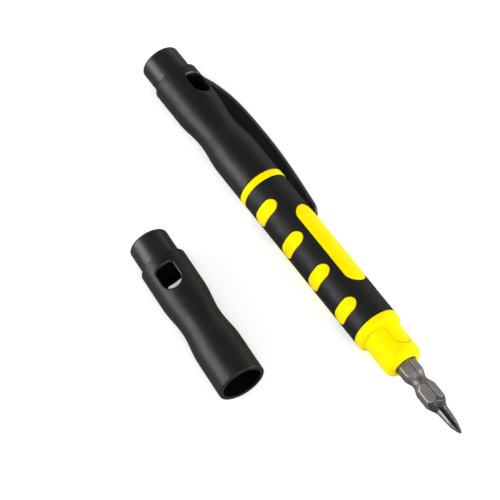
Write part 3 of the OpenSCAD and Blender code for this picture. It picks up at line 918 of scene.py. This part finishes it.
clip_fall = [(clip_top_at, clip_top_r), (clip_top_at + clip_third, clip_top_r),
             (clip_len - clip_third, clip_top_r - clip_droop), (clip_len, clip_tip_r)]
clip_lift = [(clip_seat_len, clip_seat_r),
             (clip_start, clip_seat_r + (clip_start - clip_seat_len) * clip_slope),
             (clip_shoulder, clip_under_r), (clip_top_at, clip_under_r)]
root_blend = 4.5
painted_light_grey = (0.03, 0.03, 0.0305)


def curve_height(controls, x):
    """Height of a cubic curve over x, along which x only grows."""
    low, high = 0.0, 1.0
    for _ in range(40):
        t = (low + high) / 2
        at = [(1 - t) ** 3 * a + 3 * t * (1 - t) ** 2 * b + 3 * t * t * (1 - t) * c + t ** 3 * d
              for a, b, c, d in zip(*controls)]
        low, high = (t, high) if at[0] < x else (low, t)
    return at[1]


def clip_top(x, across):
    """Distance of the clip's outer face from the tool's axis, x from its root. It starts out round there."""
    strip = curve_height(clip_rise if x < clip_top_at else clip_fall, x)
    share = min(1, x / root_blend)
    round_down = clip_seat_r - sqrt(clip_seat_r ** 2 - across ** 2)
    return strip - round_down * (1 - share * share * (3 - 2 * share))


def clip_under(x, across):
    """The same for its underside, which lies on the round of the shell at the root."""
    seat = sqrt(clip_seat_r ** 2 - across ** 2)
    if x < clip_seat_len:
        return seat
    strip = curve_height(clip_lift, x) if x < clip_top_at else curve_height(clip_fall, x) - clip_t
    return max(strip, seat)


def clip_outline(inset):
    """Plan of the clip as (x, across): square at the root, round at the tip, drawn in by inset."""
    half = clip_half_w - inset
    tip_middle = clip_len - clip_half_w
    along = [inset + (tip_middle - inset) * share for share in steps_between(0, 1, 90)]
    points = [(x, half) for x in along]
    points += [(tip_middle + half * sin(a), half * cos(a)) for a in steps_between(0, pi, 24)[1:-1]]
    points += [(x, -half) for x in reversed(along)]
    points += [(inset, half * share) for share in steps_between(-1, 1, 12)[1:-1]]
    return points


shell_tree = shell_black.node_tree
shell_shader = shell_tree.nodes["Principled BSDF"]
shell_black_colour = shell_shader.inputs["Base Color"].links[0].from_socket
# The clip's marked points are painted a lighter grey: painted light.
clip_black = between(shell_tree, marked_points(shell_tree, "painted_light"), shell_black_colour, painted_light_grey)
shell_tree.links.new(clip_black, shell_shader.inputs["Base Color"])

clip_mesh = bmesh.new()
painted_light_mask = clip_mesh.verts.layers.float.new("painted_light")
clip_rows = []
quarter = steps_between(0, pi / 2, 6)
for under, edge, most in ((False, clip_edge, clip_edge_share), (True, clip_under_edge, clip_under_share)):
    steps = [(inset, 0) for inset in clip_insets] + [(edge * (1 - sin(a)), 1 - cos(a)) for a in quarter]
    for inset, drop in reversed(steps) if under else steps:
        row = []
        for x, across in clip_outline(inset):
            top, bottom = clip_top(x, across), clip_under(x, across)
            rounding = min(edge, most * (top - bottom)) * drop
            height = bottom + rounding if under else top - rounding
            point = clip_mesh.verts.new((clip_root_x + x, height * sin(clip_turn) + across * cos(clip_turn),
                                         height * cos(clip_turn) - across * sin(clip_turn)))
            # Painted light on all of the underside, and on the outer rounding, growing towards the side.
            point[painted_light_mask] = 1 if under else drop
            row.append(point)
        clip_rows.append(row)
for first, second in zip(clip_rows, clip_rows[1:]):
    bridge(clip_mesh, first, second)
clip = new_piece("pocket_clip_strip", clip_mesh, shell_black, sharp=radians(50))
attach(clip, "clip")
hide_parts("pocket_clip")

# Floor, light and camera: the tool lies on a white sweep with a soft shadow, lit by softboxes low on the
# camera's left and right and a larger one in front. The view is the photograph's, from the point's side.
floor_z = -7.75
floor_half = 2000.0
paper_white = (0.8, 0.8, 0.8)
paper_mirrored = (0.32, 0.32, 0.32)
paper_lift = 0.45
ambient_strength = 0.5
backdrop_from, backdrop_to = 0.15, 0.6
backdrop_low, backdrop_high = 1.0, 0.25

floor_mesh = bmesh.new()
floor_mesh.faces.new([floor_mesh.verts.new((x * floor_half, y * floor_half, floor_z))
                      for x, y in ((-1, -1), (1, -1), (1, 1), (-1, 1))])
floor_white = bpy.data.materials.new("floor_white")
floor_white.use_nodes = True
floor_tree = floor_white.node_tree
floor_tree.nodes.clear()
# The camera sees the paper lifted to white, and the glossy black pieces mirror it darker than it is.
ray = floor_tree.nodes.new("ShaderNodeLightPath").outputs
paper_colour = between(floor_tree, ray["Is Glossy Ray"], paper_white, paper_mirrored)
paper = node(floor_tree, "ShaderNodeBsdfDiffuse", {"Color": paper_colour})
whitened = node(floor_tree, "ShaderNodeMath", {0: ray["Is Camera Ray"], 1: paper_lift}, operation="MULTIPLY")
white_sheet = node(floor_tree, "ShaderNodeEmission", {"Color": (1, 1, 1, 1), "Strength": whitened.outputs[0]})
sweep = node(floor_tree, "ShaderNodeAddShader", {0: paper.outputs[0], 1: white_sheet.outputs[0]})
node(floor_tree, "ShaderNodeOutputMaterial", {"Surface": sweep.outputs[0]})
floor = new_piece("floor_sweep", floor_mesh, floor_white)

world = bpy.data.worlds.new("white_studio")
bpy.context.scene.world = world
world.use_nodes = True
sky_tree = world.node_tree
sky_tree.nodes.clear()
# Camera, glossy and transmission rays see a backdrop that darkens upwards, and other rays an even light.
sky_ray = sky_tree.nodes.new("ShaderNodeLightPath").outputs
seen = sky_ray["Is Camera Ray"]
for kind in ("Is Glossy Ray", "Is Transmission Ray"):
    seen = node(sky_tree, "ShaderNodeMath", {0: seen, 1: sky_ray[kind]}, operation="MAXIMUM").outputs[0]
sky_direction = sky_tree.nodes.new("ShaderNodeTexCoord").outputs["Generated"]
upwards = node(sky_tree, "ShaderNodeSeparateXYZ", {"Vector": sky_direction}).outputs["Z"]
backdrop = node(sky_tree, "ShaderNodeMapRange", {
    "Value": upwards, "From Min": backdrop_from, "From Max": backdrop_to,
    "To Min": backdrop_low, "To Max": backdrop_high}, interpolation_type="SMOOTHSTEP").outputs["Result"]
ambient = node(sky_tree, "ShaderNodeBackground", {"Color": (1, 1, 1, 1), "Strength": ambient_strength})
white = node(sky_tree, "ShaderNodeBackground", {"Color": (1, 1, 1, 1), "Strength": backdrop})
sky = node(sky_tree, "ShaderNodeMixShader", {0: seen, 1: ambient.outputs[0], 2: white.outputs[0]})
node(sky_tree, "ShaderNodeOutputWorld", {"Surface": sky.outputs[0]})

aim = Vector((-47.1, -15.9, 0)) * mm
for name, towards, distance, size, watts in (
    ("left_softbox", Vector((-0.42, -0.86, 0.29)), 0.5, (0.4, 0.32), 2.1),
    ("right_softbox", Vector((0.59, 0.79, 0.16)), 0.6, (0.3, 0.2), 2.6),
    ("front_softbox", Vector((0.72, -0.15, 0.68)), 0.9, (0.5, 0.5), 3.3),
):
    lamp = bpy.data.lights.new(name, "AREA")
    lamp.shape = "RECTANGLE"
    lamp.size, lamp.size_y = size
    lamp.energy = watts
    stand = bpy.data.objects.new(name, lamp)
    stand.location = aim + towards.normalized() * distance
    stand.rotation_euler = towards.to_track_quat("Z", "Y").to_euler()
    bpy.context.scene.collection.objects.link(stand)

camera_round = radians(55.63)
camera_up = radians(59.04)
camera_away = 0.892
back = Vector((sin(camera_round) * cos(camera_up), -cos(camera_round) * cos(camera_up), sin(camera_up)))
camera_data = bpy.data.cameras.new("photo_camera")
camera_data.sensor_width = 36
camera_data.lens = 208.8
camera_data.clip_start = 0.01
camera = bpy.data.objects.new("photo_camera", camera_data)
camera.location = aim + back * camera_away
camera.rotation_euler = back.to_track_quat("Z", "Y").to_euler()
bpy.context.scene.collection.objects.link(camera)
bpy.context.scene.camera = camera
bpy.context.scene.view_settings.view_transform = "Standard"
